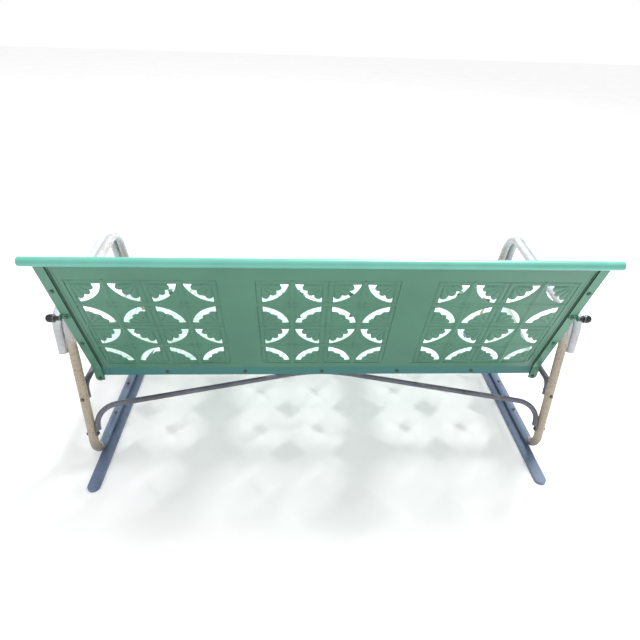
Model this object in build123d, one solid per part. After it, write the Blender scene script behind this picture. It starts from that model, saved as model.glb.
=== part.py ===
"""Metal porch glider: a pierced sheet-steel settee that swings on four links inside a tubular base.

Millimetres, +Z up. The origin is on the floor under the middle of the base. The seat faces -Y,
and "left" is the sitter's left, at +X. Each piece is written to parts/NODE.step.
"""
from math import asin, atan, cos, degrees, radians, sin, tan
import os
from build123d import *

# ---------------------------------------------------------------- overall sizes
BACK_WIDTH = 1694.0          # over the side straps
BACK_TOP_Z = 857.0           # top edge of the back sheet
BACK_TOP_Y = 386.0
BACK_BEND_Z = 342.5          # where the sheet turns down into its bolting band
BACK_BEND_Y = 225.4
BAND_HEIGHT = 36.0
BASE_DEPTH = 1030.0          # over the floor runners
SEAT_FRONT_Y = -265.0
SEAT_FRONT_Z = 414.0

# ---------------------------------------------------------------- sheet metal
SHEET = 2.0
SHEET_BEND_R = 5.0
SEAT_ROLL_R = 22.0
SEAT_LIP = 26.0
STRAP_WIDTH = 31.0
STRAP_T = 4.0
STRAP_END_R = 14.5           # corners of the ear
STRAP_TOP_GAP = 1.0          # strap's top end to the rolled cap
STRAP_EAR = 24.0             # ear below the band
TOP_ROLL_R = 14.5
TOP_ROLL_WALL = 2.0
TOP_ROLL_OVERHANG = 33.0
TOP_ROLL_GRIP = 6.0          # depth of sheet held in the roll

# ---------------------------------------------------------------- pierced pattern
TILE = 224.0                 # pitch of the square tiles
GROUP_PITCH = 562.0          # pitch of the three groups of 2 x 2 tiles
BACK_GROUP_TOP = 82.0        # sheet's top edge to the first slot, down the slope
SEAT_GROUP_REAR = 46.0       # seat's rear edge to the first slot
SLOT_R = 103.0               # smooth outer edge of a slot
SLOT_BAR = 18.0              # half width of the bar between two slots
SLOT_CUSP_R = 77.0           # inner edge: cusps
SLOT_LOBE_R = 86.0           # inner edge: middle of a lobe
LOBES = 3

# ---------------------------------------------------------------- tube base
TUBE_R = 16.0
TUBE_WALL = 1.6
LOOP_X = BACK_WIDTH / 2 + 25.0  # centre line of a side loop at its rear top bend
FOOT_X = LOOP_X - 20.0       # and at the floor, as the loops lean outwards
ARM_GAP = 1.5                # weld gap between the two arm tubes
REAR_LEG_FOOT_Y = 373.5
REAR_TOP_Y = 254.0
REAR_TOP_Z = 592.0
FRONT_TOP_Y = -345.0
FRONT_TOP_Z = 640.0
FRONT_LEG_FOOT_Y = -440.0
FOOT_BEND_R = 58.0
REAR_TOP_BEND_R = 62.0
FRONT_TOP_BEND_R = 84.0
ARM_TUBE_END_Z = 458.0
BUTT_GAP = 1.0               # joint of the loop's ends in the floor run
RUNNER_X = FOOT_X - 21.0
RUNNER_W = 44.0
RUNNER_H = 12.0
RUNNER_WALL = 2.5
RUNNER_EDGE_R = 2.0
RUNNER_SCREW_Y = (159.0, -22.0, -205.0)
RUNNER_SCREW_X = FOOT_X - 7.0
ARM_WELD = 36.0              # length of a weld between arm tube and loop

# ---------------------------------------------------------------- stretchers and hanger rails
STRETCHER_R = 10.0
STRETCHER_WALL = 1.5
STRETCHER_END_Z = 130.0          # height of its bolts
STRETCHER_RUN_Z = 240.0
STRETCHER_BEND_R = 82.0
STRETCHER_BOW_R = 500.0
REAR_BOW_Y = 118.0
FRONT_BOW_Y = -250.0
TONGUE_T = 5.0
TONGUE_W = 20.0
TONGUE_L = 36.0
HANGER_R = 11.0
HANGER_WALL = 1.5
HANGER_RUN_Z = 318.0
HANGER_END_Z = 262.0
HANGER_BEND_R = 34.0
LEG_BOLT_Z = 281.0

# ---------------------------------------------------------------- swing links
PIVOT_Y = {"rear": 15.0, "front": -245.0}
PIVOT_Z = 288.0
LINK_LENGTH = 108.0
LINK_T = 4.0
LINK_W = 26.0
LINK_X = LOOP_X - 17.0       # middle of a link's thickness
BUSH_R = 8.0
BUSH_FLANGE_R = 10.5
BUSH_SIDE = 1.0              # bush stands out of the link, each side
PIN_R = 5.0
RUNNING = 0.05               # radial clearance of pin in bush
SIDE_PLAY = 0.4
LUG_T = 4.0
LUG_W = 30.0
LUG_GAP = 5.0                # collar between link bush and lug
BRACKET_T = 4.0
BRACKET_W = 34.0
BRACKET_GAP = 5.0

# ---------------------------------------------------------------- seat frame
RAIL_W = 25.0
RAIL_H = 22.0
RAIL_WALL = 2.0
RAIL_LENGTH = 466.0          # along the seat's slope
ANGLE_W = 20.0               # legs of the cross angles
ANGLE_T = 3.0
FRONT_ANGLE_AT = 440.0       # along the seat's slope
RIB_W = 26.0
RIB_T = 4.0
SEAT_SCREWS = (70.0, 245.0, 410.0)
FRONT_SCREW_X = (-560.0, 0.0, 560.0)

# ---------------------------------------------------------------- bumpers and fasteners
BUMPER_Z = 636.0
BUMPER_R = 14.0
BUMPER_NECK_R = 8.0
BUMPER_REACH = 33.0          # strap's edge to the knob's centre
BUMPER_TAB_W = 24.0
BUMPER_TONGUE_W = 19.2       # where the tab meets the neck
NECK_SHORT = 1.0             # neck's end short of the cup
BUMPER_TAB_T = 3.0
CUP_T = 3.0                  # steel cup under the knob
CUP_EDGE_R = 1.4
CUP_INSET = 0.5
KNOB_INSET = 1.5
HEAD_R = 6.5
HEAD_H = 4.0
HEAD_EDGE_R = 2.4
SHANK_R = 3.0
HOLE_R = 3.3
NUT_R = 5.5
NUT_H = 4.5
WASHER_T = 1.5
BAND_BOLT_PITCH = 290.0
BAND_BOLTS = 5
STRAP_BOLTS = (112.0, 380.0)  # down the slope from the sheet's top edge
BAND_BOLT_RISE = 0.4         # part of the band's height under its bolts

# ---------------------------------------------------------------- worked-out places
HALF = BACK_WIDTH / 2
LEAN = atan((BACK_TOP_Y - BACK_BEND_Y) / (BACK_TOP_Z - BACK_BEND_Z))
BAND_BOTTOM_Z = BACK_BEND_Z - BAND_HEIGHT
LOOP_Z = RUNNER_H + TUBE_R
SPLAY = atan((LOOP_X - FOOT_X) / (REAR_TOP_Z - LOOP_Z))
BUSH_IN = LINK_X - LINK_T / 2 - BUSH_SIDE
BUSH_OUT = LINK_X + LINK_T / 2 + BUSH_SIDE
LUG_FACE = BUSH_OUT + LUG_GAP
RAIL_OUTER_X = BUSH_IN - BRACKET_GAP - BRACKET_T
RAIL_INNER_X = RAIL_OUTER_X - RAIL_W
SEAT_REAR_Y = BACK_BEND_Y - SHEET
SEAT_REAR_Z = BACK_BEND_Z
SEAT_TILT = atan((SEAT_FRONT_Z - SEAT_REAR_Z) / (SEAT_REAR_Y - SEAT_FRONT_Y))
LOW_PIVOT_Z = PIVOT_Z - LINK_LENGTH
BACK_PLANE = Plane(origin=(0, BACK_TOP_Y, BACK_TOP_Z), x_dir=(1, 0, 0), z_dir=(0, cos(LEAN), -sin(LEAN)))
SEAT_PLANE = Plane(origin=(0, SEAT_REAR_Y, SEAT_REAR_Z), x_dir=(-1, 0, 0),
                   z_dir=(0, sin(SEAT_TILT), cos(SEAT_TILT)))

os.makedirs("parts", exist_ok=True)


def save(name, shape):
    """Write one node."""
    shape.label = name
    export_step(shape, f"parts/{name}.step")


def solids(pieces):
    """Several separate solids as one node."""
    return Compound(children=list(pieces))


def mirrored(shape):
    """The same piece on the other side of the glider."""
    return mirror(shape, about=Plane.YZ)


def save_pair(name, shape):
    """A left piece and its right-hand mirror image."""
    save(f"{name}_left", shape)
    save(f"{name}_right", mirrored(shape))


def both_sides(pieces):
    """Left pieces with their right-hand copies."""
    pieces = list(pieces)
    return pieces + [mirrored(piece) for piece in pieces]


def rod(radius, start, end):
    """Solid cylinder from one point to another."""
    start, end = Vector(*start), Vector(*end)
    axis = end - start
    return extrude(Plane(origin=start, z_dir=axis.normalized()) * Circle(radius), axis.length)


def tube(points, bend_radii, radius, wall):
    """Round tube bent along a path of straight runs and arcs."""
    path = FilletPolyline(*points, radius=bend_radii)
    start = Plane(origin=path @ 0, z_dir=path % 0)
    outer = sweep(start * Circle(radius), path=path)
    return outer - sweep(start * Circle(radius - wall), path=path)


def bolt(centre, direction, grip):
    """Round-head bolt and its nut: the head's underside is at centre and the shank runs along direction."""
    blank = extrude(Circle(HEAD_R), -HEAD_H)
    blank = fillet(blank.edges().group_by(Axis.Z)[0], HEAD_EDGE_R)
    blank += extrude(Circle(SHANK_R), grip + NUT_H)
    blank += Pos(0, 0, grip) * extrude(RegularPolygon(NUT_R, 6), NUT_H)
    return Plane(origin=centre, z_dir=direction) * blank


def bolt_hole(centre, direction, depth):
    """Clearance hole for a bolt."""
    return Plane(origin=centre, z_dir=direction) * extrude(Circle(HOLE_R), depth)


def turned(stations, y, z):
    """Pin turned about an X axis: each station is a radius and the two ends of its length."""
    piece = Part()
    for radius, x0, x1 in stations:
        piece += rod(radius, (x0, y, z), (x1, y, z))
    return piece


def rear_leg_y(z):
    """Centre line of the rear leg."""
    return REAR_LEG_FOOT_Y + (REAR_TOP_Y - REAR_LEG_FOOT_Y) * (z - LOOP_Z) / (REAR_TOP_Z - LOOP_Z)


def front_leg_y(z):
    """Centre line of the front leg."""
    return FRONT_LEG_FOOT_Y + (FRONT_TOP_Y - FRONT_LEG_FOOT_Y) * (z - LOOP_Z) / (FRONT_TOP_Z - LOOP_Z)


def leg_x(z):
    """Distance of a leg's centre line from the middle of the glider."""
    return FOOT_X + (z - LOOP_Z) * tan(SPLAY)


# ================================================================ base
def side_loop():
    """One tube bent into a closed side: floor run, rear leg, arm and front leg."""
    points = [
        (FOOT_X, BUTT_GAP / 2, LOOP_Z),
        (FOOT_X, REAR_LEG_FOOT_Y, LOOP_Z),
        (LOOP_X, REAR_TOP_Y, REAR_TOP_Z),
        (leg_x(FRONT_TOP_Z), FRONT_TOP_Y, FRONT_TOP_Z),
        (FOOT_X, FRONT_LEG_FOOT_Y, LOOP_Z),
        (FOOT_X, -BUTT_GAP / 2, LOOP_Z),
    ]
    radii = [FOOT_BEND_R, REAR_TOP_BEND_R, FRONT_TOP_BEND_R, FOOT_BEND_R]
    return tube(points, radii, TUBE_R, TUBE_WALL)


def arm_tube():
    """Second arm tube, outside the loop and following its bends."""
    out = 2 * TUBE_R + ARM_GAP
    points = [
        (leg_x(ARM_TUBE_END_Z) + out, rear_leg_y(ARM_TUBE_END_Z), ARM_TUBE_END_Z),
        (LOOP_X + out, REAR_TOP_Y, REAR_TOP_Z),
        (leg_x(FRONT_TOP_Z) + out, FRONT_TOP_Y, FRONT_TOP_Z),
        (leg_x(ARM_TUBE_END_Z) + out, front_leg_y(ARM_TUBE_END_Z), ARM_TUBE_END_Z),
    ]
    return tube(points, [REAR_TOP_BEND_R, FRONT_TOP_BEND_R], TUBE_R, TUBE_WALL)


def floor_runner():
    """Pressed runner: an upside-down channel with round closed ends."""
    blank = Pos(RUNNER_X, 0, 0) * Rot(0, 0, 90) * extrude(SlotOverall(BASE_DEPTH, RUNNER_W), RUNNER_H)
    blank = fillet(blank.edges().group_by(Axis.Z)[-1], RUNNER_EDGE_R)
    hollow = SlotOverall(BASE_DEPTH - 2 * RUNNER_WALL, RUNNER_W - 2 * RUNNER_WALL)
    return blank - Pos(RUNNER_X, 0, 0) * Rot(0, 0, 90) * extrude(hollow, RUNNER_H - RUNNER_WALL)


def runner_screw(y):
    """Screw with its head on top of the floor run, down through the runner's top, and its nut inside."""
    return bolt((RUNNER_SCREW_X, y, LOOP_Z + TUBE_R), (0, 0, -1), 2 * TUBE_R + RUNNER_WALL)


def runner_screw_hole(y):
    """Hole for a runner screw in the tube and the runner."""
    return bolt_hole((RUNNER_SCREW_X, y, LOOP_Z + TUBE_R), (0, 0, -1), LOOP_Z + TUBE_R)


def stretcher(leg_y, bow_y):
    """Round stretcher: tongues bolted inside the legs, up along them, then bowed across."""
    inwards = (TUBE_R + STRETCHER_R) / cos(SPLAY)
    low, high = STRETCHER_END_Z + TONGUE_L / 2, STRETCHER_RUN_Z
    points = [
        (inwards - leg_x(low), leg_y(low), low),
        (inwards - leg_x(high), leg_y(high), high),
        (0, bow_y, high),
        (leg_x(high) - inwards, leg_y(high), high),
        (leg_x(low) - inwards, leg_y(low), low),
    ]
    bar = tube(points, [STRETCHER_BEND_R, STRETCHER_BOW_R, STRETCHER_BEND_R], STRETCHER_R, STRETCHER_WALL)
    tilt = degrees(atan(leg_y(1) - leg_y(0)))
    middle = STRETCHER_END_Z + (TONGUE_L - TONGUE_W) / 2
    tongue = extrude(Plane.YZ * Rot(0, 0, 90 - tilt) * SlotOverall(TONGUE_L, TONGUE_W), TONGUE_T)
    inside_leg = Pos(leg_x(middle), leg_y(middle), middle) * Rot(0, degrees(SPLAY), 0)
    tongue = inside_leg * Pos(-TUBE_R - TONGUE_T, 0, 0) * tongue
    tongue -= stretcher_bolt_hole(leg_y)
    return bar + tongue + mirrored(tongue)


def stretcher_bolt_line(leg_y):
    """Start and direction of the bolt square through a leg and a stretcher's tongue."""
    out = Vector(cos(SPLAY), 0, -sin(SPLAY))
    return Vector(leg_x(STRETCHER_END_Z), leg_y(STRETCHER_END_Z), STRETCHER_END_Z) + out * TUBE_R, -out


def stretcher_bolt(leg_y):
    """Bolt through a leg and a stretcher's tongue, nut inwards."""
    return bolt(*stretcher_bolt_line(leg_y), 2 * TUBE_R + TONGUE_T)


def stretcher_bolt_hole(leg_y):
    """Hole for that bolt."""
    return bolt_hole(*stretcher_bolt_line(leg_y), 2 * (TUBE_R + TONGUE_T))


def beside_leg(leg_y, way):
    """Fore-and-aft distance from a leg's centre line to that of a hanger rail standing against it."""
    return way * (TUBE_R + HANGER_R) / cos(atan(leg_y(1) - leg_y(0)))


def hanger_rail():
    """Tube that carries the links: it stands against the rear leg, runs forward, and meets the front leg."""
    rear, front = beside_leg(rear_leg_y, -1), beside_leg(front_leg_y, 1)
    points = [
        (leg_x(HANGER_END_Z), rear_leg_y(HANGER_END_Z) + rear, HANGER_END_Z),
        (leg_x(HANGER_RUN_Z), rear_leg_y(HANGER_RUN_Z) + rear, HANGER_RUN_Z),
        (leg_x(HANGER_RUN_Z), front_leg_y(HANGER_RUN_Z) + front, HANGER_RUN_Z),
        (leg_x(HANGER_END_Z), front_leg_y(HANGER_END_Z) + front, HANGER_END_Z),
    ]
    return tube(points, [HANGER_BEND_R, HANGER_BEND_R], HANGER_R, HANGER_WALL)


def leg_bolt_line(leg_y, way):
    """Start and direction of the bolt square through a leg and a hanger rail's end."""
    lean = atan(leg_y(1) - leg_y(0))
    direction = Vector(0, way * cos(lean), -way * sin(lean))
    return Vector(leg_x(LEG_BOLT_Z), leg_y(LEG_BOLT_Z), LEG_BOLT_Z) - direction * TUBE_R, direction


def arm_weld(tubes, y, z, along):
    """Weld in the gap between the arm tube and the loop."""
    blank = Box(ARM_GAP + TUBE_WALL, TUBE_R / 2, ARM_WELD)
    middle = leg_x(z) + TUBE_R + ARM_GAP / 2
    return Pos(middle, y, z) * Rot(along, 0, 0) * blank - tubes


def hanger_lug(y):
    """Lug welded under the hanger rail, with the hole for a link's upper pin."""
    plate = Pos(LUG_FACE + LUG_T / 2, y, (PIVOT_Z + HANGER_RUN_Z) / 2) * Box(
        LUG_T, LUG_W, HANGER_RUN_Z - PIVOT_Z)
    plate += rod(LUG_W / 2, (LUG_FACE, y, PIVOT_Z), (LUG_FACE + LUG_T, y, PIVOT_Z))
    plate -= rod(PIN_R, (LUG_FACE, y, PIVOT_Z), (LUG_FACE + LUG_T, y, PIVOT_Z))
    x = leg_x(HANGER_RUN_Z)
    return plate - rod(HANGER_R, (x, y - LUG_W, HANGER_RUN_Z), (x, y + LUG_W, HANGER_RUN_Z))


def upper_pin(y):
    """Shouldered pin fixed in a hanger lug: end washer, bearing length, collar, seat in the lug and head."""
    return turned([
        (BUSH_R, BUSH_IN - SIDE_PLAY - WASHER_T, BUSH_IN - SIDE_PLAY),
        (PIN_R - RUNNING, BUSH_IN - SIDE_PLAY, BUSH_OUT + SIDE_PLAY),
        (BUSH_R, BUSH_OUT + SIDE_PLAY, LUG_FACE),
        (PIN_R, LUG_FACE, LUG_FACE + LUG_T),
        (BUSH_R, LUG_FACE + LUG_T, LUG_FACE + LUG_T + HEAD_H),
    ], y, PIVOT_Z)


# ================================================================ links
def link_plate(y):
    """Flat link with a round eye at each end."""
    blank = Plane.YZ * Rot(0, 0, 90) * SlotCenterToCenter(LINK_LENGTH, LINK_W)
    plate = Pos(LINK_X - LINK_T / 2, y, (PIVOT_Z + LOW_PIVOT_Z) / 2) * extrude(blank, LINK_T)
    for z in (PIVOT_Z, LOW_PIVOT_Z):
        plate -= rod(BUSH_R, (BUSH_IN, y, z), (BUSH_OUT, y, z))
    return plate


def link_bushes(y):
    """The two bushes pressed into a link, each with a thin flange on both faces."""
    pieces = []
    half = LINK_T / 2
    for z in (PIVOT_Z, LOW_PIVOT_Z):
        bush = turned([(BUSH_FLANGE_R, BUSH_IN, LINK_X - half), (BUSH_R, LINK_X - half, LINK_X + half),
                       (BUSH_FLANGE_R, LINK_X + half, BUSH_OUT)], y, z)
        pieces.append(bush - rod(PIN_R, (BUSH_IN, y, z), (BUSH_OUT, y, z)))
    return solids(pieces)


# ================================================================ back
def lobed_slot():
    """One quarter slot about its fan centre: smooth outside, three lobes inside, ends cut square."""
    end = asin(SLOT_BAR / SLOT_R)
    cusp = asin(SLOT_BAR / SLOT_CUSP_R)
    step = (radians(90) - 2 * cusp) / LOBES

    def at(radius, angle):
        return (radius * cos(angle), radius * sin(angle))

    edges = [
        ThreePointArc(at(SLOT_R, end), at(SLOT_R, radians(45)), at(SLOT_R, radians(90) - end)),
        Line(at(SLOT_R, radians(90) - end), at(SLOT_CUSP_R, radians(90) - cusp)),
        Line(at(SLOT_CUSP_R, cusp), at(SLOT_R, end)),
    ]
    for lobe in range(LOBES):
        a = cusp + lobe * step
        edges.append(ThreePointArc(at(SLOT_CUSP_R, a), at(SLOT_LOBE_R, a + step / 2), at(SLOT_CUSP_R, a + step)))
    return make_face(Wire(edges))


def pattern(first_y):
    """All slots of a sheet: three groups of 2 x 2 tiles, with four quarter slots round each tile's star."""
    slot = extrude(lobed_slot(), SLOT_BAR, both=True)
    cuts = []
    for group in (-1, 0, 1):
        for column in range(2):
            for row in range(2):
                x0 = group * GROUP_PITCH + (column - 1) * TILE
                y0 = first_y - SLOT_BAR + row * TILE
                for corner, turn in enumerate((0, 90, 180, 270)):
                    dx = TILE if corner in (1, 2) else 0
                    dy = TILE if corner in (2, 3) else 0
                    cuts.append(Pos(x0 + dx, y0 + dy, 0) * Rot(0, 0, turn) * slot)
    return cuts


def strip(outline, thickness, side, half_width):
    """Sheet of one thickness bent along an outline in the YZ plane."""
    face = make_face(outline.offset_2d(thickness, side=side, closed=True))
    return extrude(Plane.YZ * face, half_width, both=True)


def back_panel():
    """Pierced back sheet: it leans back, and its lower edge turns straight down as a bolting band."""
    outline = FilletPolyline((BACK_TOP_Y, BACK_TOP_Z), (BACK_BEND_Y, BACK_BEND_Z), (BACK_BEND_Y, BAND_BOTTOM_Z),
                             radius=SHEET_BEND_R)
    sheet = strip(outline, SHEET, Side.RIGHT, HALF)
    sheet -= [BACK_PLANE * cut for cut in pattern(BACK_GROUP_TOP)]
    holes = [bolt_hole(*strap_bolt_line(s), 4 * STRAP_T) for s in STRAP_BOLTS]
    sheet -= both_sides(holes + [bumper_bolt_hole()])
    return sheet - [bolt_hole(*band_bolt_line(i), ANGLE_W) for i in range(BAND_BOLTS)]


def back_strap():
    """Flat strap down each side of the back; its lower end is a round-cornered ear below the band."""
    start = BACK_PLANE * Pos(0, TOP_ROLL_GRIP + STRAP_TOP_GAP, 0)
    top = start.position
    outline = FilletPolyline((top.Y, top.Z), (BACK_BEND_Y, BACK_BEND_Z), (BACK_BEND_Y, BAND_BOTTOM_Z - STRAP_EAR),
                             radius=SHEET_BEND_R + STRAP_T)
    strap = Pos(HALF - STRAP_WIDTH / 2, 0, 0) * strip(outline, STRAP_T, Side.LEFT, STRAP_WIDTH / 2)
    corners = strap.edges().filter_by(Axis.Y).group_by(Axis.Z)[0]
    strap = fillet(corners, STRAP_END_R)
    strap -= [bolt_hole(*strap_bolt_line(s), 4 * STRAP_T) for s in STRAP_BOLTS]
    strap -= bolt_hole(*ear_bolt_line(), 4 * STRAP_T)
    return strap - bumper_bolt_hole()


def strap_bolt_line(s):
    """Start and direction of a bolt through strap and sheet, s down the slope."""
    spot = BACK_PLANE * Pos(HALF - STRAP_WIDTH / 2, s, STRAP_T)
    return spot.position, -BACK_PLANE.z_dir


def ear_bolt_line():
    """Start and direction of the bolt through a strap's ear and a side rail's cleat."""
    z = BAND_BOTTOM_Z - STRAP_EAR / 2
    return Vector((RAIL_INNER_X + RAIL_OUTER_X) / 2, BACK_BEND_Y + STRAP_T, z), Vector(0, -1, 0)


def band_bolt_line(index):
    """Start and direction of a bolt through the band, the seat's flange and the rear angle."""
    x = (index - (BAND_BOLTS - 1) / 2) * BAND_BOLT_PITCH
    return Vector(x, BACK_BEND_Y, BAND_BOTTOM_Z + BAND_HEIGHT * BAND_BOLT_RISE), Vector(0, -1, 0)


def top_rail():
    """Rolled cap along the back's top edge: a split tube that grips the sheet."""
    half = HALF + TOP_ROLL_OVERHANG
    centre = Pos(0, TOP_ROLL_GRIP - TOP_ROLL_R, -SHEET / 2)
    ring = Circle(TOP_ROLL_R) - Circle(TOP_ROLL_R - TOP_ROLL_WALL)
    cap = BACK_PLANE * centre * extrude(Plane.YZ * ring, half, both=True)
    return cap - BACK_PLANE * Pos(0, TOP_ROLL_GRIP / 2, -SHEET / 2) * Box(2 * half, TOP_ROLL_R, SHEET)


# ================================================================ bumpers
def bumper_spot():
    """Middle of a bumper's tab on the strap's rear face."""
    s = (BACK_TOP_Z - BUMPER_Z) / cos(LEAN)
    return BACK_PLANE * Pos(HALF - STRAP_WIDTH / 2, s, STRAP_T)


def bumper_bolt_hole():
    """Hole for a bumper's bolt through tab, strap and sheet."""
    spot = bumper_spot() * Pos(0, 0, BUMPER_TAB_T)
    return bolt_hole(spot.position, -BACK_PLANE.z_dir, 4 * STRAP_T)


def bumper_bracket():
    """Round-ended tab bolted on the strap, with a short neck that reaches out sideways."""
    reach = STRAP_WIDTH / 2 + BUMPER_TAB_T
    tab = extrude(Circle(BUMPER_TAB_W / 2) + Pos(reach / 2, 0) * Rectangle(reach, BUMPER_TONGUE_W), BUMPER_TAB_T)
    neck = Pos(reach - BUMPER_TAB_T, 0, BUMPER_NECK_R) * Rot(0, 90, 0) * extrude(
        Circle(BUMPER_NECK_R), BUMPER_REACH - BUMPER_R - NECK_SHORT)
    return bumper_spot() * (tab + neck) - bumper_bolt_hole()


def bumper_axis():
    """Frame at a bumper knob's centre, with Z pointing out sideways."""
    return bumper_spot() * Pos(STRAP_WIDTH / 2 + BUMPER_REACH, 0, BUMPER_NECK_R) * Rot(0, 90, 0)


def bumper_ferrule():
    """Steel cup between the neck and the rubber knob."""
    cup = extrude(Circle(BUMPER_R - CUP_INSET), CUP_T)
    return bumper_axis() * Pos(0, 0, -BUMPER_R) * fillet(cup.edges().group_by(Axis.Z)[0], CUP_EDGE_R)


def bumper_knob():
    """Round rubber knob, flat where it sits on its cup."""
    base, brim = CUP_T - BUMPER_R, BUMPER_R - KNOB_INSET
    side = Spline((brim, base), (BUMPER_R, 0), (0, BUMPER_R), tangents=((0.3, 1), (-1, 0)))
    edges = [Line((0, base), (brim, base)), side, Line((0, BUMPER_R), (0, base))]
    face = make_face(Plane.XZ * Wire([edge.edge() for edge in edges]))
    return bumper_axis() * revolve(face, Axis.Z)


# ================================================================ seat
def seat_pan():
    """Pierced seat sheet: a rear flange bolted to the back's band, and a rolled front edge."""
    outline = FilletPolyline(
        (SEAT_REAR_Y, BAND_BOTTOM_Z), (SEAT_REAR_Y, SEAT_REAR_Z), (SEAT_FRONT_Y, SEAT_FRONT_Z),
        (SEAT_FRONT_Y, SEAT_FRONT_Z - SEAT_ROLL_R - SEAT_LIP), radius=[SHEET_BEND_R, SEAT_ROLL_R])
    sheet = strip(outline, SHEET, Side.LEFT, RAIL_OUTER_X)
    sheet -= [SEAT_PLANE * cut for cut in pattern(SEAT_GROUP_REAR)]
    sheet -= [bolt_hole(*line, RAIL_H) for line in seat_screw_lines()]
    return sheet - [bolt_hole(*band_bolt_line(i), ANGLE_W) for i in range(BAND_BOLTS)]


def seat_screw_lines():
    """Start and direction of every screw through the seat sheet."""
    middle = (RAIL_INNER_X + RAIL_OUTER_X) / 2
    spots = [(x, s) for x in (-middle, middle) for s in SEAT_SCREWS]
    spots += [(x, FRONT_ANGLE_AT + ANGLE_W / 2) for x in FRONT_SCREW_X]
    return [((SEAT_PLANE * Pos(x, s, 0)).position, -SEAT_PLANE.z_dir) for x, s in spots]


def seat_rail():
    """Square tube under the seat's side edge, with a welded cleat for the strap's ear."""
    middle = (RAIL_INNER_X + RAIL_OUTER_X) / 2
    at = Pos(-middle, RAIL_LENGTH / 2 - RAIL_H, -SHEET - RAIL_H / 2)
    bar = Box(RAIL_W, RAIL_LENGTH + 2 * RAIL_H, RAIL_H)
    bore = Box(RAIL_W - 2 * RAIL_WALL, RAIL_LENGTH + 4 * RAIL_H, RAIL_H - 2 * RAIL_WALL)
    face_y = SEAT_REAR_Y - SHEET
    room = Pos(middle, face_y - BASE_DEPTH / 2, SEAT_REAR_Z) * Box(4 * RAIL_W, BASE_DEPTH, BASE_DEPTH)
    rail = (SEAT_PLANE * at * (bar - bore)) & room
    low = BAND_BOTTOM_Z - STRAP_EAR
    plate = Pos(middle, face_y - ANGLE_T / 2, (low + SEAT_REAR_Z - RAIL_H) / 2) * Box(
        RAIL_W, ANGLE_T, SEAT_REAR_Z - RAIL_H - low)
    pad = Pos(middle, (face_y + BACK_BEND_Y) / 2, BAND_BOTTOM_Z - STRAP_EAR / 2) * Box(
        RAIL_W, BACK_BEND_Y - face_y, STRAP_EAR)
    corner = Pos(middle, face_y, SEAT_REAR_Z - SHEET) * Box(2 * RAIL_W, 2 * SHEET_BEND_R, 2 * SHEET_BEND_R)
    rail = rail - corner + plate + pad - bolt_hole(*ear_bolt_line(), RAIL_W)
    return rail - [bolt_hole(*line, SHEET + RAIL_H / 2) for line in seat_screw_lines()]


def rear_angle():
    """Angle bar along the seat's rear flange."""
    face_y = SEAT_REAR_Y - SHEET
    width = 2 * RAIL_INNER_X
    height = BAND_HEIGHT - SHEET - SHEET_BEND_R
    bar = Pos(0, face_y - ANGLE_T / 2, BAND_BOTTOM_Z + height / 2) * Box(width, ANGLE_T, height)
    bar += Pos(0, face_y - ANGLE_W / 2, BAND_BOTTOM_Z + ANGLE_T / 2) * Box(width, ANGLE_W, ANGLE_T)
    return bar - [bolt_hole(*band_bolt_line(i), ANGLE_W) for i in range(BAND_BOLTS)]


def front_angle():
    """Angle bar under the seat behind its rolled front."""
    width = 2 * RAIL_INNER_X
    flat = Pos(0, FRONT_ANGLE_AT + ANGLE_W / 2, -SHEET - ANGLE_T / 2) * Box(width, ANGLE_W, ANGLE_T)
    web = Pos(0, FRONT_ANGLE_AT + ANGLE_T / 2, -SHEET - ANGLE_W / 2) * Box(width, ANGLE_T, ANGLE_W)
    return SEAT_PLANE * (flat + web) - [bolt_hole(*line, ANGLE_W) for line in seat_screw_lines()]


def seat_rib():
    """Flat bar under the seat between two groups of slots, from the rear angle to the front one."""
    start = ANGLE_W + 2 * SHEET
    bar = Box(RIB_W, FRONT_ANGLE_AT - start, RIB_T)
    return SEAT_PLANE * Pos(-GROUP_PITCH / 2, (FRONT_ANGLE_AT + start) / 2, -SHEET - RIB_T / 2) * bar


def seat_bracket(y):
    """Plate welded on a side rail's outer face, hanging down to a link's lower pin."""
    top = SEAT_REAR_Z + (SEAT_REAR_Y - y) * tan(SEAT_TILT) - SHEET - RAIL_H / 3
    plate = Pos(RAIL_OUTER_X + BRACKET_T / 2, y, (top + LOW_PIVOT_Z) / 2) * Box(
        BRACKET_T, BRACKET_W, top - LOW_PIVOT_Z)
    plate += rod(BRACKET_W / 2, (RAIL_OUTER_X, y, LOW_PIVOT_Z), (RAIL_OUTER_X + BRACKET_T, y, LOW_PIVOT_Z))
    return plate - rod(PIN_R, (RAIL_OUTER_X, y, LOW_PIVOT_Z), (RAIL_OUTER_X + BRACKET_T, y, LOW_PIVOT_Z))


def lower_pin(y):
    """Shouldered pin fixed in a seat bracket: head, seat in the bracket, collar, bearing length and washer."""
    return turned([
        (BUSH_R, RAIL_OUTER_X - HEAD_H, RAIL_OUTER_X),
        (PIN_R, RAIL_OUTER_X, RAIL_OUTER_X + BRACKET_T),
        (BUSH_R, RAIL_OUTER_X + BRACKET_T, BUSH_IN - SIDE_PLAY),
        (PIN_R - RUNNING, BUSH_IN - SIDE_PLAY, BUSH_OUT + SIDE_PLAY),
        (BUSH_R, BUSH_OUT + SIDE_PLAY, BUSH_OUT + SIDE_PLAY + WASHER_T),
    ], y, LOW_PIVOT_Z)


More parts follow.
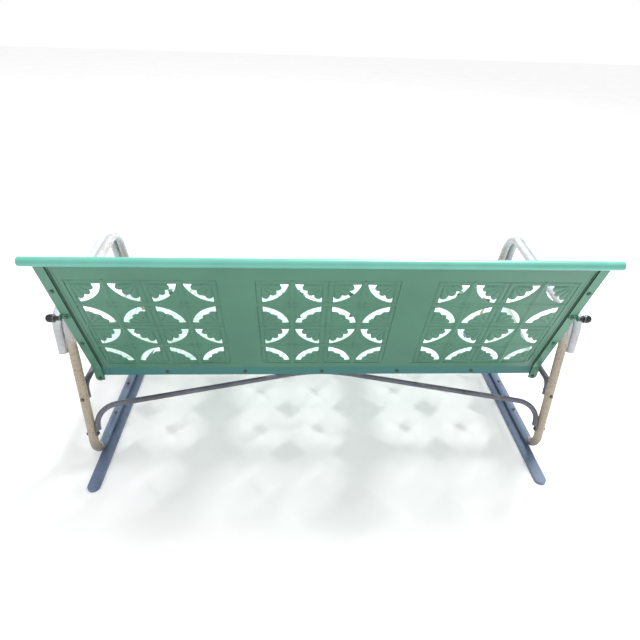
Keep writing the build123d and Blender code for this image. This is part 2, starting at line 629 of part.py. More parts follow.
# ================================================================ assembly
loop_holes = [runner_screw_hole(y) for y in RUNNER_SCREW_Y]
loop_holes += [stretcher_bolt_hole(rear_leg_y), stretcher_bolt_hole(front_leg_y)]
leg_bolts = [leg_bolt_line(rear_leg_y, -1), leg_bolt_line(front_leg_y, 1)]
leg_holes = [bolt_hole(*line, 2 * (TUBE_R + HANGER_R)) for line in leg_bolts]
loop = side_loop() - (loop_holes + leg_holes)
outer_arm = arm_tube()
save_pair("side_loop", loop)
save_pair("arm_tube", outer_arm)
save_pair("floor_runner", floor_runner() - [runner_screw_hole(y) for y in RUNNER_SCREW_Y])
save_pair("hanger_rail", hanger_rail() - leg_holes)
save("rear_stretcher", stretcher(rear_leg_y, REAR_BOW_Y))
save("front_stretcher", stretcher(front_leg_y, FRONT_BOW_Y))

weld_z = ARM_TUBE_END_Z + ARM_WELD
rear_tilt = degrees(atan(rear_leg_y(0) - rear_leg_y(1)))
front_tilt = degrees(atan(front_leg_y(0) - front_leg_y(1)))
tubes = loop + outer_arm
save("arm_welds", solids(both_sides([
    arm_weld(tubes, rear_leg_y(weld_z), weld_z, rear_tilt),
    arm_weld(tubes, front_leg_y(weld_z), weld_z, front_tilt),
])))
save("runner_screws", solids(both_sides(runner_screw(y) for y in RUNNER_SCREW_Y)))
save("stretcher_bolts", solids(both_sides([stretcher_bolt(rear_leg_y), stretcher_bolt(front_leg_y)])))
save("leg_bolts", solids(both_sides(bolt(*line, 2 * (TUBE_R + HANGER_R)) for line in leg_bolts)))
save("hanger_lugs", solids(both_sides(hanger_lug(y) for y in PIVOT_Y.values())))
save("upper_pins", solids(both_sides(upper_pin(y) for y in PIVOT_Y.values())))

for end, y in PIVOT_Y.items():
    save_pair(f"link_{end}", link_plate(y))
    save_pair(f"link_bushes_{end}", link_bushes(y))

save("back_panel", back_panel())
save("top_rail", top_rail())
save_pair("back_strap", back_strap())
strap_grip = STRAP_T + SHEET
save("strap_bolts", solids(both_sides(bolt(*strap_bolt_line(s), strap_grip) for s in STRAP_BOLTS)))
save("ear_bolts", solids(both_sides([bolt(*ear_bolt_line(), STRAP_T + 2 * SHEET + ANGLE_T)])))
save("band_bolts", solids(bolt(*band_bolt_line(i), 2 * SHEET + ANGLE_T) for i in range(BAND_BOLTS)))

save_pair("bumper_bracket", bumper_bracket())
save_pair("bumper_ferrule", bumper_ferrule())
save_pair("bumper_knob", bumper_knob())
tab_face = (bumper_spot() * Pos(0, 0, BUMPER_TAB_T)).position
save("bumper_bolts", solids(both_sides([bolt(tab_face, -BACK_PLANE.z_dir, BUMPER_TAB_T + strap_grip)])))

save("seat_pan", seat_pan())
save_pair("seat_rail", seat_rail())
save("rear_angle", rear_angle())
save("front_angle", front_angle())
save_pair("seat_rib", seat_rib())
save("seat_brackets", solids(both_sides(seat_bracket(y) for y in PIVOT_Y.values())))
save("lower_pins", solids(both_sides(lower_pin(y) for y in PIVOT_Y.values())))
side_grip = SHEET + RAIL_WALL
front_grip = SHEET + ANGLE_T
grips = [side_grip] * (2 * len(SEAT_SCREWS)) + [front_grip] * len(FRONT_SCREW_X)
save("seat_screws", solids(bolt(*line, grip) for line, grip in zip(seat_screw_lines(), grips)))
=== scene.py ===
import itertools
import math

import bmesh
import bpy
import numpy as np
from mathutils import Matrix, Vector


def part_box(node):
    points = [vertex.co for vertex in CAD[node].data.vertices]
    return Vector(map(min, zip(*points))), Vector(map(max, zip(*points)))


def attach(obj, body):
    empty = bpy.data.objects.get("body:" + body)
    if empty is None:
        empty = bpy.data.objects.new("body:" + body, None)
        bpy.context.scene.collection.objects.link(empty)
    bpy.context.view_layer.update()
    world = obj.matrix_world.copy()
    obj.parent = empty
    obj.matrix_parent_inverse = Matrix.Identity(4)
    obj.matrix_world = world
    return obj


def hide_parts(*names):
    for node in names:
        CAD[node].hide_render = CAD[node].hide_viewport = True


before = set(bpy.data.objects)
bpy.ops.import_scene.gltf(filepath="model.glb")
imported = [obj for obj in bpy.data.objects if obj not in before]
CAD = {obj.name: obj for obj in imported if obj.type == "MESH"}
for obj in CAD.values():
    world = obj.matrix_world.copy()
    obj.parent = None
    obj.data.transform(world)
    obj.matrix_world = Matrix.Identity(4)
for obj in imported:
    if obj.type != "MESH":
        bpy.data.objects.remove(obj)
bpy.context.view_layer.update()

# ============================================================ camera
# The eye is about 1.5 m above the ground behind the glider, a little to the sitter's left, and looks
# forwards and down over the back to the runners.
EYE = (0.1036, 1.6312, 1.5170)
YAW, PITCH, ROLL = 0.0635, 0.5982, 0.0374
FOCAL, SENSOR = 27.10, 36.0


def look_matrix(eye, yaw, pitch, roll):
    """Camera matrix for an eye that faces -Y, turned left by yaw and down by pitch, and then rolled.

    Its columns are the image's right, up and back ways: level right and square up, turned by roll.
    """
    ahead = np.array([-math.sin(yaw) * math.cos(pitch), -math.cos(yaw) * math.cos(pitch), -math.sin(pitch)])
    right = np.array([-math.cos(yaw), math.sin(yaw), 0.0])
    above = np.cross(right, ahead)
    x_axis = math.cos(roll) * right + math.sin(roll) * above
    y_axis = -math.sin(roll) * right + math.cos(roll) * above
    turn = Matrix(np.column_stack([x_axis, y_axis, -ahead]).tolist())
    return Matrix.Translation(eye) @ turn.to_4x4()


lens = bpy.data.cameras.new("camera")
lens.lens, lens.sensor_width = FOCAL, SENSOR
camera = bpy.data.objects.new("camera", lens)
camera.matrix_world = look_matrix(EYE, YAW, PITCH, ROLL)
bpy.context.collection.objects.link(camera)
bpy.context.scene.camera = camera


# ============================================================ bent tubes of the base
# Each side is one steel tube bent into leg, arm, leg and floor run, with a second arm tube beside it.
# They are sprayed white, and out of doors the enamel has yellowed in patches, speckled and rusted near the
# ground.
# The beige of the whole lower legs is partly that yellowing and partly painted shade, and the blue-grey of
# the floor runs is painted shade.
class Tone:
    """A value in a material. Arithmetic on it adds Math nodes, and node() adds any other one."""

    def __init__(self, tree, socket=None):
        self.tree, self.socket = tree, socket

    def node(self, kind, sockets=None, output=0, **settings):
        """A new node: its settings first, then a value or a link on each of the sockets."""
        made = self.tree.nodes.new("ShaderNode" + kind)
        for name, value in settings.items():
            setattr(made, name, value)
        for key, value in (sockets or {}).items():
            if isinstance(value, Tone):
                self.tree.links.new(value.socket, made.inputs[key])
            else:
                made.inputs[key].default_value = value
        return Tone(self.tree, made.outputs[output])

    def maths(self, operation, *values):
        return self.node("Math", dict(enumerate(values)), operation=operation)

    def __add__(self, other):
        return self.maths("ADD", self, other)

    def __sub__(self, other):
        return self.maths("SUBTRACT", self, other)

    def __rsub__(self, other):
        return self.maths("SUBTRACT", other, self)

    def __mul__(self, other):
        return self.maths("MULTIPLY", self, other)

    __radd__, __rmul__ = __add__, __mul__

    def step(self, low, high):
        """0 below low, 1 above high and smooth between, or the reverse if low is the larger."""
        return self.node("MapRange", {"Value": self, "From Min": low, "From Max": high},
                         interpolation_type="SMOOTHSTEP")

    def mix(self, first, second):
        """The first colour where this is 0 and the second where it is 1."""
        return self.node("Mix", {0: self, 6: first, 7: second}, output=2, data_type="RGBA")


def paint(red, green, blue):
    """A linear colour from the sRGB numbers, 0 to 255, that a colour card gives."""
    card = np.array([red, green, blue]) / 255
    linear = np.where(card <= 0.04045, card / 12.92, ((card + 0.055) / 1.055) ** 2.4)
    return (*linear.tolist(), 1.0)


def new_material(name):
    """An empty material: its Principled shader and a Tone to build from."""
    material = bpy.data.materials.new(name)
    material.use_nodes = True
    return material, material.node_tree.nodes["Principled BSDF"], Tone(material.node_tree)


def join_up(tone, shader, **values):
    """Link tones to the shader's sockets, and set the constants on them."""
    for name, value in values.items():
        socket = shader.inputs[name.replace("_", " ")]
        if isinstance(value, Tone):
            tone.tree.links.new(value.socket, socket)
        else:
            socket.default_value = value


def noise(tone, scale, detail=3.0, roughness=0.55, stretch=None):
    """Noise of that scale, per metre, in the object's own coordinates; stretch scales the axes."""
    place = tone.node("TexCoord", output="Object")
    if stretch:
        place = tone.node("Mapping", {"Vector": place, "Scale": stretch})
    return tone.node("TexNoise", {"Vector": place, "Scale": scale, "Detail": detail, "Roughness": roughness})


def height_above_floor(tone):
    """Z in metres."""
    return tone.node("SeparateXYZ", {"Vector": tone.node("TexCoord", output="Object")}, output="Z")


def distance_from_middle(tone, axis):
    """Distance from the glider's middle along X or Y, in metres: the size of that coordinate."""
    place = tone.node("SeparateXYZ", {"Vector": tone.node("TexCoord", output="Object")}, output=axis)
    return tone.maths("ABSOLUTE", place)


def weathered_enamel(name, clean, aged, grime, rust, wear, aged_and_shaded_below=None, feet=0.0, run_shade=None):
    """Old outdoor enamel: clean paint that ages in patches, with fine specks and rusty chips.

    Below the height aged_and_shaded_below all of it takes the aged tone, partly as yellowing and partly as
    painted shade on the lower legs; feet is how dark the foot bends have become, and run_shade is the
    blue-grey painted shade of the floor runs. wear, 0 to 1, widens the pits and deepens the specks.
    """
    material, shader, tone = new_material(name)
    patches = noise(tone, 9.0, 4.0).step(0.40, 0.72)
    specks = noise(tone, 240.0, 4.0, 0.8).step(0.49, 0.62)
    pits = noise(tone, 95.0, 4.0, 0.65).step(0.66 - 0.08 * wear, 0.71 - 0.08 * wear)
    z = height_above_floor(tone)
    if aged_and_shaded_below:
        # Below the given height the whole tube takes the aged beige: partly yellowing, partly painted shade
        # on the legs.
        aged_and_shaded_low = z.step(aged_and_shaded_below, aged_and_shaded_below - 0.14) * z.step(0.045, 0.07)
        patches = tone.maths("MAXIMUM", patches * 0.6, aged_and_shaded_low)
    low = z.step(0.13, 0.02) * distance_from_middle(tone, "Y").step(0.30, 0.36) * feet
    low = low * (0.55 + noise(tone, 40.0, 3.0).step(0.30, 0.62) * 0.45)
    colour = patches.mix(clean, aged)
    # The floor runs take a darker blue-grey, which is painted shade from the seat and back above them.
    if run_shade:
        colour = z.step(0.052, 0.044).mix(colour, run_shade)
    colour = (specks * (0.22 + 0.56 * wear)).mix(colour, grime)
    colour = low.mix(colour, grime)
    colour = (pits * (low * 0.6 + 0.4 * wear)).mix(colour, rust)
    bump = noise(tone, 700.0, 2.0) * 0.25 + pits * -0.8 + specks * 0.3
    normal = tone.node("Bump", {"Height": bump, "Strength": 0.22, "Distance": 0.0012})
    join_up(tone, shader, Base_Color=colour, Roughness=0.34 + 0.4 * pits + 0.18 * patches + 0.25 * low,
            Normal=normal, Coat_Weight=0.12, Coat_Roughness=0.25)
    return material


def dress(names, material):
    """Put one material on CAD nodes, in place of their own."""
    for name in names:
        mesh = CAD[name].data
        mesh.materials.clear()
        mesh.materials.append(material)


loop_enamel = weathered_enamel(
    "loop_enamel", clean=paint(184, 190, 196), aged=paint(166, 154, 136), grime=paint(82, 70, 58),
    rust=paint(60, 40, 28), wear=0.75, aged_and_shaded_below=0.60, feet=0.9, run_shade=paint(104, 124, 150))
arm_enamel = weathered_enamel(
    "arm_enamel", clean=paint(190, 196, 200), aged=paint(160, 162, 162), grime=paint(100, 94, 88),
    rust=paint(70, 50, 38), wear=0.45)
SIDES = ("left", "right")
dress([f"side_loop_{side}" for side in SIDES], loop_enamel)
dress([f"arm_tube_{side}" for side in SIDES] + ["arm_welds"], arm_enamel)

# ============================================================ floor runners
# Pressed channels with round noses, screwed under the floor runs. Their dark blue-grey is painted shade from
# the seat and back above them, and over it they carry grime and rusty chips from standing in the wet.
# Painted shade: the runners' dark blue-grey stands for the shade they lie in.
runner_enamel = weathered_enamel(
    "runner_enamel", clean=paint(100, 116, 142), aged=paint(78, 94, 122), grime=paint(48, 54, 68),
    rust=paint(60, 48, 40), wear=0.6)
dress([f"floor_runner_{side}" for side in SIDES], runner_enamel)

# ============================================================ stretchers and hanger rails
# Thinner tubes bolted between the legs, with welded lugs and flat links that carry the seat. Their grey
# paint has dulled to a lilac cast.
grey_enamel = weathered_enamel(
    "grey_enamel", clean=paint(98, 99, 110), aged=paint(76, 77, 88), grime=paint(46, 44, 48),
    rust=paint(58, 42, 34), wear=0.7)
dress([f"{part}_{side}" for part in ("hanger_rail", "link_rear", "link_front") for side in SIDES],
      grey_enamel)
dress(["rear_stretcher", "front_stretcher", "hanger_lugs"], grey_enamel)

# ============================================================ bolts, pins and bushes
# Plain steel fasteners, browned by weather, hold the base together and carry the links. The bushes that
# the pins turn in are dull brass.


def bare_metal(name, bright, dark, roughness, metallic):
    """Metal with a mottled stain over it, which is rougher and less metallic."""
    material, shader, tone = new_material(name)
    stain = noise(tone, 160.0, 5.0, 0.65).step(0.40, 0.66)
    normal = tone.node("Bump", {"Height": noise(tone, 900.0, 2.0), "Strength": 0.25, "Distance": 0.0006})
    join_up(tone, shader, Base_Color=stain.mix(bright, dark), Roughness=roughness + 0.35 * stain,
            Metallic=metallic - 0.6 * metallic * stain, Normal=normal)
    return material


browned_steel = bare_metal("browned_steel", paint(104, 92, 82), paint(52, 38, 30), 0.38, 0.8)
dull_brass = bare_metal("dull_brass", paint(176, 148, 88), paint(96, 76, 46), 0.32, 1.0)
dress(["runner_screws", "stretcher_bolts", "leg_bolts", "upper_pins", "lower_pins"], browned_steel)
dress([f"link_bushes_{end}_{side}" for end in ("rear", "front") for side in SIDES], dull_brass)

# ============================================================ pierced back
# One stamped sheet: three groups of four square tiles, each tile a concave star between four scallop
# shells, with slots cut round the shells. Its lower edge turns down as a bolting band.
SHEET = 0.002
TILE, GROUP_PITCH = 0.224, 0.562
SLOT_R, SLOT_BAR = 0.103, 0.018
CUSP_R, LOBE_R, LOBES = 0.077, 0.086, 3
PETAL_HEIGHT, RIB_HEIGHT = 0.0030, 0.0022
GROOVE_DEPTH, BURR_DEPTH = 0.0016, 0.0010
SHELL_ROWS, SLOT_ROWS, STAR_ROWS = 12, 2, 5
BAR_COLUMNS, LOBE_COLUMNS = 3, 8
STEP_ACROSS, STEP_ALONG = 0.014, 0.008


def swell(distance, width):
    """A bell curve: 1 on a line and falling away over its width."""
    return np.exp(-(distance / width) ** 2)


def shell_cell():
    """A quarter tile on polar lines about its shell's centre, which is the cell's corner.

    Columns turn from 0 to 90 degrees and rows go out from the centre to the lobed edge, across the slot
    and on to the square's far sides. Between the lobed edge and the slot's outer arc a column keeps its
    distance from the bars, so the slot's ends are straight. Returns x, y and the faces that are metal.
    """
    half = TILE / 2
    middle = LOBES * LOBE_COLUMNS
    columns = np.arange(middle + 2 * BAR_COLUMNS + 1) - BAR_COLUMNS
    share = np.clip(columns / middle, 0, 1)
    bar_share = np.where(columns < 0, 1 + columns / BAR_COLUMNS, 1.0)
    far_share = np.where(columns > middle, 1 - (columns - middle) / BAR_COLUMNS, 1.0)
    wave = 2 * ((share * LOBES) % 1) - 1
    lobed = CUSP_R + (LOBE_R - CUSP_R) * np.where((share > 0) & (share < 1), 1 - wave ** 2, 0)

    def angle(radius):
        bar = np.arcsin(SLOT_BAR / np.clip(radius, CUSP_R, SLOT_R))
        inner = bar + (math.pi / 2 - 2 * bar) * share
        return np.where(columns < 0, bar * bar_share,
                        np.where(columns > middle, math.pi / 2 - bar * far_share, inner))

    rim = angle(np.full(len(columns), SLOT_R))
    edge = half / np.maximum(np.cos(rim), np.sin(rim))
    rows = [lobed * i / SHELL_ROWS for i in range(SHELL_ROWS)]
    rows += [lobed + (SLOT_R - lobed) * i / SLOT_ROWS for i in range(SLOT_ROWS)]
    rows += [SLOT_R + (edge - SLOT_R) * i / STAR_ROWS for i in range(STAR_ROWS + 1)]
    radius = np.array(rows)
    theta = np.array([angle(row) for row in rows])
    metal = np.ones((len(rows) - 1, len(columns) - 1), bool)
    metal[SHELL_ROWS:SHELL_ROWS + SLOT_ROWS, BAR_COLUMNS:BAR_COLUMNS + middle] = False
    return radius * np.cos(theta), radius * np.sin(theta), metal


def cell_relief(x, y):
    """Stamped height, and the painted shade of the grooves, 0 to 1, at each point of a quarter tile.

    Petals swell between rays that fan out from the shell's corner: the sine of a multiple of the turn about
    it. Lines along the bars and the tile's border are pressed in, and a bead inside the border and the ribs
    across the star stand out. Each of those is a bell curve of the distance from its line.
    """
    half = TILE / 2
    radius = np.hypot(x, y)
    px, py = x - SLOT_BAR, y - SLOT_BAR
    reach = np.hypot(px, py)
    turn = np.arctan2(py, px)
    inside = (px > 0) & (py > 0) & (radius < LOBE_R + 0.001)
    fade = np.clip(reach / 0.022, 0, 1)
    wave = np.abs(np.sin(2 * LOBES * turn))
    petals = PETAL_HEIGHT * wave ** 0.7 * fade * inside
    near_shell = np.clip((SLOT_R + 0.006 - radius) / 0.006, 0, 1)
    bars = (swell(px, 0.0022) + swell(py, 0.0022)) * near_shell
    clear_of_rib_x = 1 - swell(half - x, 0.014)
    clear_of_rib_y = 1 - swell(half - y, 0.014)
    border = swell(y, 0.0026) * clear_of_rib_x + swell(x, 0.0026) * clear_of_rib_y
    frame_bead = swell(y - 0.009, 0.004) * clear_of_rib_x + swell(x - 0.009, 0.004) * clear_of_rib_y
    ribs = swell(half - x, 0.0045) + swell(half - y, 0.0045)
    rib_sides = swell(np.abs(half - x) - 0.0085, 0.0018) + swell(np.abs(half - y) - 0.0085, 0.0018)
    burr = swell(radius - SLOT_R, 0.0035)
    height = petals + RIB_HEIGHT * (ribs + 0.5 * frame_bead)
    height = height - GROOVE_DEPTH * (0.7 * bars + border) - BURR_DEPTH * burr
    # Painted shade: the bar and border grooves, the ray lines between the petals and the lines beside the
    # ribs get a darkness value that the enamel paints darker.
    rays = swell(wave, 0.22) * inside * np.clip((reach - 0.008) / 0.01, 0, 1)
    crease_shade = np.clip(0.25 * bars + 0.4 * border + 0.7 * rays + 0.35 * rib_sides, 0, 1)
    return height, crease_shade


def sheet_lines(low, high, spots, step):
    """Grid lines from low to high through the given spots, with no gap wider than step."""
    lines = [low]
    for spot in sorted(spots) + [high]:
        gap = spot - lines[-1]
        if gap > 1e-6:
            parts = math.ceil(gap / step)
            lines += [lines[-1] + gap * (i + 1) / parts for i in range(parts)]
    return np.array(lines)


def weave_mesh(name, points, faces, crease_shade):
    """Mesh from arrays of points and quads, its doubles merged. Each point's crease_shade, its painted
    shade, becomes an attribute.
    """
    mesh = bpy.data.meshes.new(name)
    mesh.from_pydata(points.tolist(), [], faces.tolist())
    mesh.attributes.new("crease_shade", "FLOAT", "POINT").data.foreach_set("value", crease_shade.astype(np.float32))
    form = bmesh.new()
    form.from_mesh(mesh)
    bmesh.ops.remove_doubles(form, verts=form.verts, dist=2e-5)
    bmesh.ops.dissolve_degenerate(form, edges=form.edges, dist=1e-6)
    form.to_mesh(mesh)
    form.free()
    piece = bpy.data.objects.new(name, mesh)
    bpy.context.collection.objects.link(piece)
    return piece


def finish_mesh(piece):
    """Apply the modifiers and shade smooth, with an edge kept sharp where faces turn by over 35 degrees."""
    shape = bpy.data.meshes.new_from_object(piece.evaluated_get(bpy.context.evaluated_depsgraph_get()))
    piece.modifiers.clear()
    piece.data = shape
    shape.shade_smooth()
    shape.set_sharp_from_angle(angle=math.radians(35))


class Bend:
    """A flat sheet bent once: straight from start, an arc of the given radius, then straight again.

    The call takes the distance s along the sheet and the height h off its face, and gives Y and Z.
    side is +1 where the face looks to the left of the way along, seen with Y to the right and Z up.
    """

    def __init__(self, start, first_way, second_way, turn, radius, side):
        self.start, self.side, self.radius = np.array(start), side, radius
        self.a0 = math.atan2(first_way[1], first_way[0])
        swing = math.atan2(second_way[1], second_way[0]) - self.a0
        self.swing = (swing + math.pi) % (2 * math.pi) - math.pi
        self.turn = turn - radius * math.tan(abs(self.swing) / 2)

    def __call__(self, s, h):
        arc = self.radius * abs(self.swing)
        along = np.clip(s - self.turn, 0, arc)
        angle = self.a0 + self.swing * along / arc
        sign = math.copysign(1, self.swing)
        centre = (self.start + self.turn * np.array([math.cos(self.a0), math.sin(self.a0)])
                  + sign * self.radius * np.array([-math.sin(self.a0), math.cos(self.a0)]))
        bent_y = centre[0] + sign * self.radius * np.sin(angle)
        bent_z = centre[1] - sign * self.radius * np.cos(angle)
        before = np.minimum(s, self.turn)
        beyond = np.maximum(s - self.turn - arc, 0)
        y = np.where(s < self.turn, self.start[0] + before * math.cos(self.a0),
                     bent_y + beyond * np.cos(angle))
        z = np.where(s < self.turn, self.start[1] + before * math.sin(self.a0),
                     bent_z + beyond * np.sin(angle))
        return y - self.side * h * np.sin(angle), z + self.side * h * np.cos(angle)


def pierced_sheet(name, half_width, length, first, bend, beads=()):
    """A stamped sheet with the slot pattern, mapped on to its bent shape.

    The flat sheet has x across and s along its length. bend(s, h) gives Y and Z of the face at height h.
    beads lists long pressed lines beside the pattern: their distance from the middle, depth and the strength
    of the painted shade along them.
    Cells of the pattern are laid in the groups, and plain grids whose lines meet the cells' fill the rest.
    """
    cell_x, cell_y, metal = shell_cell()
    stations = cell_x[:, 0]
    tile_lines = [d for s in stations for d in (s, TILE - s)]
    tiles_x = [group * GROUP_PITCH + (column - 1) * TILE for group in (-1, 0, 1) for column in (0, 1)]
    tiles_y = [first - SLOT_BAR + row * TILE for row in (0, 1)]
    spots_x = [tile + d for tile in tiles_x for d in tile_lines]
    spots_y = [tile + d for tile in tiles_y for d in tile_lines]
    spots_x += [side * (place + d) for side in (-1, 1) for place, _, _ in beads
                for d in np.arange(-0.0045, 0.005, 0.0015)]
    spots_y += [bend.turn - STEP_ALONG, bend.turn + STEP_ALONG]
    lines_x = sheet_lines(-half_width, half_width, spots_x, STEP_ACROSS)
    lines_y = sheet_lines(0.0, length, spots_y, STEP_ALONG)
    grid_x, grid_y = np.meshgrid(lines_x, lines_y)
    centre_x = (grid_x[:-1, :-1] + grid_x[1:, 1:]) / 2
    centre_y = (grid_y[:-1, :-1] + grid_y[1:, 1:]) / 2
    in_rows = (centre_y > first - SLOT_BAR) & (centre_y < first - SLOT_BAR + 2 * TILE)
    beside = np.abs((centre_x + 1.5 * GROUP_PITCH) % GROUP_PITCH - GROUP_PITCH / 2)
    keep = ~(in_rows & (beside < TILE))
    index = np.arange(grid_x.size).reshape(grid_x.shape)
    quads = np.stack([index[:-1, :-1], index[:-1, 1:], index[1:, 1:], index[1:, :-1]], -1)[keep]
    ends = np.clip((grid_y.ravel() - 0.01) / 0.02, 0, 1)
    ends = ends * np.clip((bend.turn - grid_y.ravel()) / 0.01, 0, 1)
    lines = [swell(np.abs(grid_x.ravel()) - place, 0.0024) * ends for place, _, _ in beads]
    plain_height = -sum((line * depth for line, (_, depth, _) in zip(lines, beads)), np.zeros(grid_x.size))
    # Each bead also carries a line of painted shade, stored with the grooves' painted shade.
    plain_crease_shade = sum((line * dark for line, (_, _, dark) in zip(lines, beads)), np.zeros(grid_x.size))
    xs, ys, hs, crease_shades = [grid_x.ravel()], [grid_y.ravel()], [plain_height], [plain_crease_shade]
    faces, count = [quads], grid_x.size
    height, crease_shade = cell_relief(cell_x, cell_y)
    own = np.arange(cell_x.size).reshape(cell_x.shape)
    cell_quads = np.stack([own[:-1, :-1], own[:-1, 1:], own[1:, 1:], own[1:, :-1]], -1)[metal]
    for x0, y0, flip_x, flip_y in itertools.product(tiles_x, tiles_y, (False, True), (False, True)):
        xs.append((x0 + (TILE - cell_x if flip_x else cell_x)).ravel())
        ys.append((y0 + (TILE - cell_y if flip_y else cell_y)).ravel())
        hs.append(height.ravel())
        crease_shades.append(crease_shade.ravel())
        faces.append((cell_quads if flip_x != flip_y else cell_quads[:, ::-1]) + count)
        count += cell_x.size
    y, z = bend(np.concatenate(ys), np.concatenate(hs))
    points = np.column_stack([np.concatenate(xs), y, z])
    piece = weave_mesh(name, points, np.concatenate(faces), np.concatenate(crease_shades))
    wall = piece.modifiers.new("wall", "SOLIDIFY")
    wall.thickness, wall.offset = SHEET, -1.0
    finish_mesh(piece)
    return piece


BACK_TOP, BACK_BEND, BACK_BEND_R = (0.3860, 0.8570), (0.2254, 0.3425), 0.005
BACK_LEAN = math.atan((BACK_TOP[0] - BACK_BEND[0]) / (BACK_TOP[1] - BACK_BEND[1]))
BACK_SLOPE = (BACK_TOP[1] - BACK_BEND[1]) / math.cos(BACK_LEAN)
BAND, BACK_GROUP_TOP = 0.036, 0.082
BACK_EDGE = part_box("back_panel")[1][0]
STRAP_EDGE = BACK_EDGE - 0.031
# Painted shadow: the two beads just inside each strap's inner edge are full lines of shadow from the strap,
# and the third a fainter line of painted shade.
BACK_BEADS = [(STRAP_EDGE - 0.0025, 0.0008, 1.0), (STRAP_EDGE - 0.0055, 0.0008, 1.0), (0.8000, 0.0010, 0.4)]
back_bend = Bend(BACK_TOP, (-math.sin(BACK_LEAN), -math.cos(BACK_LEAN)), (0.0, -1.0), BACK_SLOPE,
                 BACK_BEND_R, 1)
back_sheet = pierced_sheet("back_sheet", BACK_EDGE, BACK_SLOPE + BAND, BACK_GROUP_TOP, back_bend, BACK_BEADS)


def gloss_enamel(name, light, dark, groove_shade=None, band_shade=None, neck=None, inner=None, roughness=0.36):
    """Brushed-on gloss: faint cloudy tone and brush drag along X, over light and dark.

    groove_shade is the painted shade in the stamped grooves. band_shade is the darker, bluer painted shade
    of the turned-down bolting edge, which faces away from the sky. neck is the tone of what reaches out
    beyond the back's edge, and inner that of the painted shadow along the straps' inner edges.
    """
    material, shader, tone = new_material(name)
    cloud = noise(tone, 5.0, 3.0).step(0.32, 0.70)
    drag = noise(tone, 60.0, 3.0, 0.6, stretch=(0.12, 1.0, 1.0))
    dust = noise(tone, 240.0, 3.0, 0.7).step(0.58, 0.78)
    colour = (cloud * 0.7 + drag * 0.3).mix(dark, light)
    # Painted shade: the bolting edge below the bend is darker and bluer, as it faces away from the sky.
    if band_shade:
        colour = height_above_floor(tone).step(BACK_BEND[1] + 0.004, BACK_BEND[1] - 0.004).mix(colour, band_shade)
    # Painted shadow: a dark line along the straps' inner edges, where the strap meets the sheet.
    if inner:
        strap_edge_shadow = distance_from_middle(tone, "X").step(STRAP_EDGE + 0.0022, STRAP_EDGE + 0.0006)
        colour = strap_edge_shadow.mix(colour, inner)
    if neck:
        beyond = distance_from_middle(tone, "X").step(BACK_EDGE + 0.003, BACK_EDGE + 0.005)
        colour = beyond.mix(colour, neck)
    # Painted shade: the stamped grooves are darkened by their painted-shade attribute.
    if groove_shade:
        depth = tone.node("Attribute", attribute_name="crease_shade", output="Fac")
        colour = (depth * 0.75).mix(colour, groove_shade)
    colour = (dust * 0.08).mix(colour, paint(176, 186, 170))
    height = drag * 0.5 + noise(tone, 420.0, 2.0) * 0.3
    normal = tone.node("Bump", {"Height": height, "Strength": 0.16, "Distance": 0.0012})
    join_up(tone, shader, Base_Color=colour, Roughness=roughness + 0.14 * cloud + 0.15 * dust,
            Normal=normal, Coat_Weight=0.15, Coat_Roughness=0.25)
    return material


# The groove and bolting-edge tones on the back are painted shade.
back_green = gloss_enamel("sea_green_enamel", paint(68, 122, 98), paint(57, 110, 88),
                          groove_shade=paint(14, 56, 40), band_shade=paint(46, 108, 104))
back_sheet.data.materials.append(back_green)
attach(back_sheet, "seat")
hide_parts("back_panel")

# ============================================================ back's straps, cap and bolts
# Flat straps cover the sheet's side edges, and a rolled cap grips its top. They are green like the sheet,
# with a line of painted shadow along each strap's inner edge; the cap's lighter green is painted light, for
# the sun on its top, and the bolts' heads are darker.
# The inner tone is painted shadow along each strap's inner edge.
strap_green = gloss_enamel("strap_enamel", paint(74, 128, 104), paint(64, 116, 94), inner=paint(14, 56, 40),
                           roughness=0.32)
# Painted light: a lighter copy of the green, for the sun on the cap's top.
cap_sunlit_green = gloss_enamel("cap_sunlit_enamel", paint(98, 172, 156), paint(88, 160, 144), roughness=0.28)
neck_paint = gloss_enamel("neck_enamel", paint(64, 116, 94), paint(54, 104, 84), neck=paint(14, 16, 16))
bolt_green = gloss_enamel("bolt_enamel", paint(34, 78, 62), paint(24, 62, 50), roughness=0.32)
dress([f"back_strap_{side}" for side in SIDES], strap_green)
dress(["top_rail"], cap_sunlit_green)
dress(["strap_bolts", "band_bolts", "bumper_bolts", "ear_bolts"], bolt_green)
dress([f"bumper_bracket_{side}" for side in SIDES], neck_paint)

# ============================================================ bumpers
# A black moulded rubber knob in a dulled steel cup, on a short neck at each side of the back. The necks
# are painted with the back.


def rubber(name):
    """Moulded rubber with a slight bloom, which is paler and less glossy."""
    material, shader, tone = new_material(name)
    bloom = noise(tone, 90.0, 3.0).step(0.4, 0.75)
    normal = tone.node("Bump", {"Height": noise(tone, 1400.0, 2.0), "Strength": 0.3, "Distance": 0.0004})
    join_up(tone, shader, Base_Color=bloom.mix(paint(8, 8, 9), paint(18, 18, 19)),
            Roughness=0.2 + 0.2 * bloom, Normal=normal)
    return material


dulled_steel = bare_metal("dulled_steel", paint(120, 120, 122), paint(70, 66, 64), 0.3, 0.9)
dress([f"bumper_knob_{side}" for side in SIDES], rubber("black_rubber"))
dress([f"bumper_ferrule_{side}" for side in SIDES], dulled_steel)

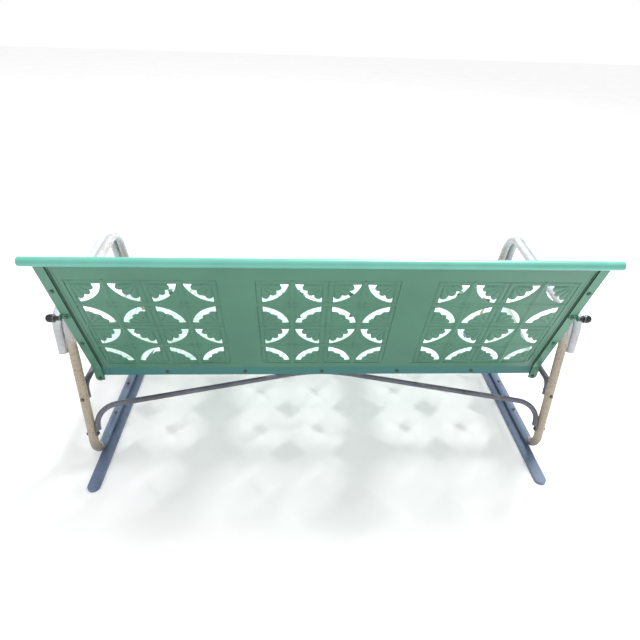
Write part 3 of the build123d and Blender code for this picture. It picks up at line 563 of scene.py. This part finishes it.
# ============================================================ seat
# A sheet stamped with the same tiles, its front rolled over, on square rails, angles and two flat ribs. Its
# enamel is pale, and zinc screws hold it down.
SEAT_REAR, SEAT_FRONT = (BACK_BEND[0] - SHEET, BACK_BEND[1]), (-0.265, 0.414)
SEAT_RISE = math.atan((SEAT_FRONT[1] - SEAT_REAR[1]) / (SEAT_REAR[0] - SEAT_FRONT[0]))
SEAT_SLOPE = (SEAT_REAR[0] - SEAT_FRONT[0]) / math.cos(SEAT_RISE)
ROLL_R, LIP, SEAT_GROUP_REAR = 0.022, 0.026, 0.046
ROLL_SAVING = ROLL_R * (2 * math.tan((math.pi / 2 + SEAT_RISE) / 2) - (math.pi / 2 + SEAT_RISE))
SEAT_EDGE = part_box("seat_pan")[1][0]
seat_bend = Bend(SEAT_REAR, (-math.cos(SEAT_RISE), math.sin(SEAT_RISE)), (0.0, -1.0), SEAT_SLOPE, ROLL_R, -1)
seat_sheet = pierced_sheet("seat_sheet", SEAT_EDGE, SEAT_SLOPE + ROLL_R + LIP - ROLL_SAVING, SEAT_GROUP_REAR,
                           seat_bend)
# The seat's groove tone is painted shade.
seat_pale = gloss_enamel("seat_enamel", paint(186, 210, 200), paint(174, 198, 188),
                         groove_shade=paint(104, 140, 126))
seat_sheet.data.materials.append(seat_pale)
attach(seat_sheet, "seat")
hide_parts("seat_pan")

frame_green = gloss_enamel("frame_enamel", paint(68, 116, 92), paint(56, 102, 80), roughness=0.42)
bright_zinc = bare_metal("bright_zinc", paint(214, 214, 208), paint(150, 146, 138), 0.18, 1.0)
dress([f"seat_{part}_{side}" for part in ("rail", "rib") for side in SIDES], frame_green)
dress(["rear_angle", "front_angle", "seat_brackets"], frame_green)
dress(["seat_screws"], bright_zinc)

# ============================================================ floor and light
# A plain pale studio floor, a soft high light in front and to the sitter's right, a broad weak fill behind,
# and a white sky.


def studio_floor():
    """A square of pale floor that reaches 14 m each way, with hardly visible mottling."""
    mesh = bpy.data.meshes.new("floor")
    reach = 14.0
    corners = [(-reach, -reach, 0.0), (reach, -reach, 0.0), (reach, reach, 0.0), (-reach, reach, 0.0)]
    mesh.from_pydata(corners, [], [(0, 1, 2, 3)])
    piece = bpy.data.objects.new("floor", mesh)
    bpy.context.collection.objects.link(piece)
    material, shader, tone = new_material("floor")
    mottle = noise(tone, 3.0).step(0.3, 0.7)
    join_up(tone, shader, Base_Color=mottle.mix(paint(250, 250, 250), paint(247, 247, 248)), Roughness=0.9)
    mesh.materials.append(material)


def area_light(name, place, target, size, power):
    """A square soft light at a place, turned so that its -Z looks at the target."""
    light = bpy.data.lights.new(name, "AREA")
    light.size, light.energy = size, power
    lamp = bpy.data.objects.new(name, light)
    way = np.array(target) - np.array(place)
    back = -way / np.linalg.norm(way)
    side = np.cross((0, 0, 1), back)
    side /= np.linalg.norm(side)
    turn = Matrix(np.column_stack([side, np.cross(back, side), back]).tolist())
    lamp.matrix_world = Matrix.Translation(place) @ turn.to_4x4()
    bpy.context.collection.objects.link(lamp)


studio_floor()
area_light("key", (-1.5, -1.5, 4.8), (0, 0, 0.4), 1.2, 340)
area_light("fill", (0.6, 4.2, 3.0), (0, 0, 0.4), 4.0, 25)
world = bpy.data.worlds.new("studio")
world.use_nodes = True
world.node_tree.nodes["Background"].inputs["Color"].default_value = (1.0, 1.0, 1.0, 1.0)
world.node_tree.nodes["Background"].inputs["Strength"].default_value = 1.0
bpy.context.scene.world = world
bpy.context.scene.view_settings.view_transform = "Standard"
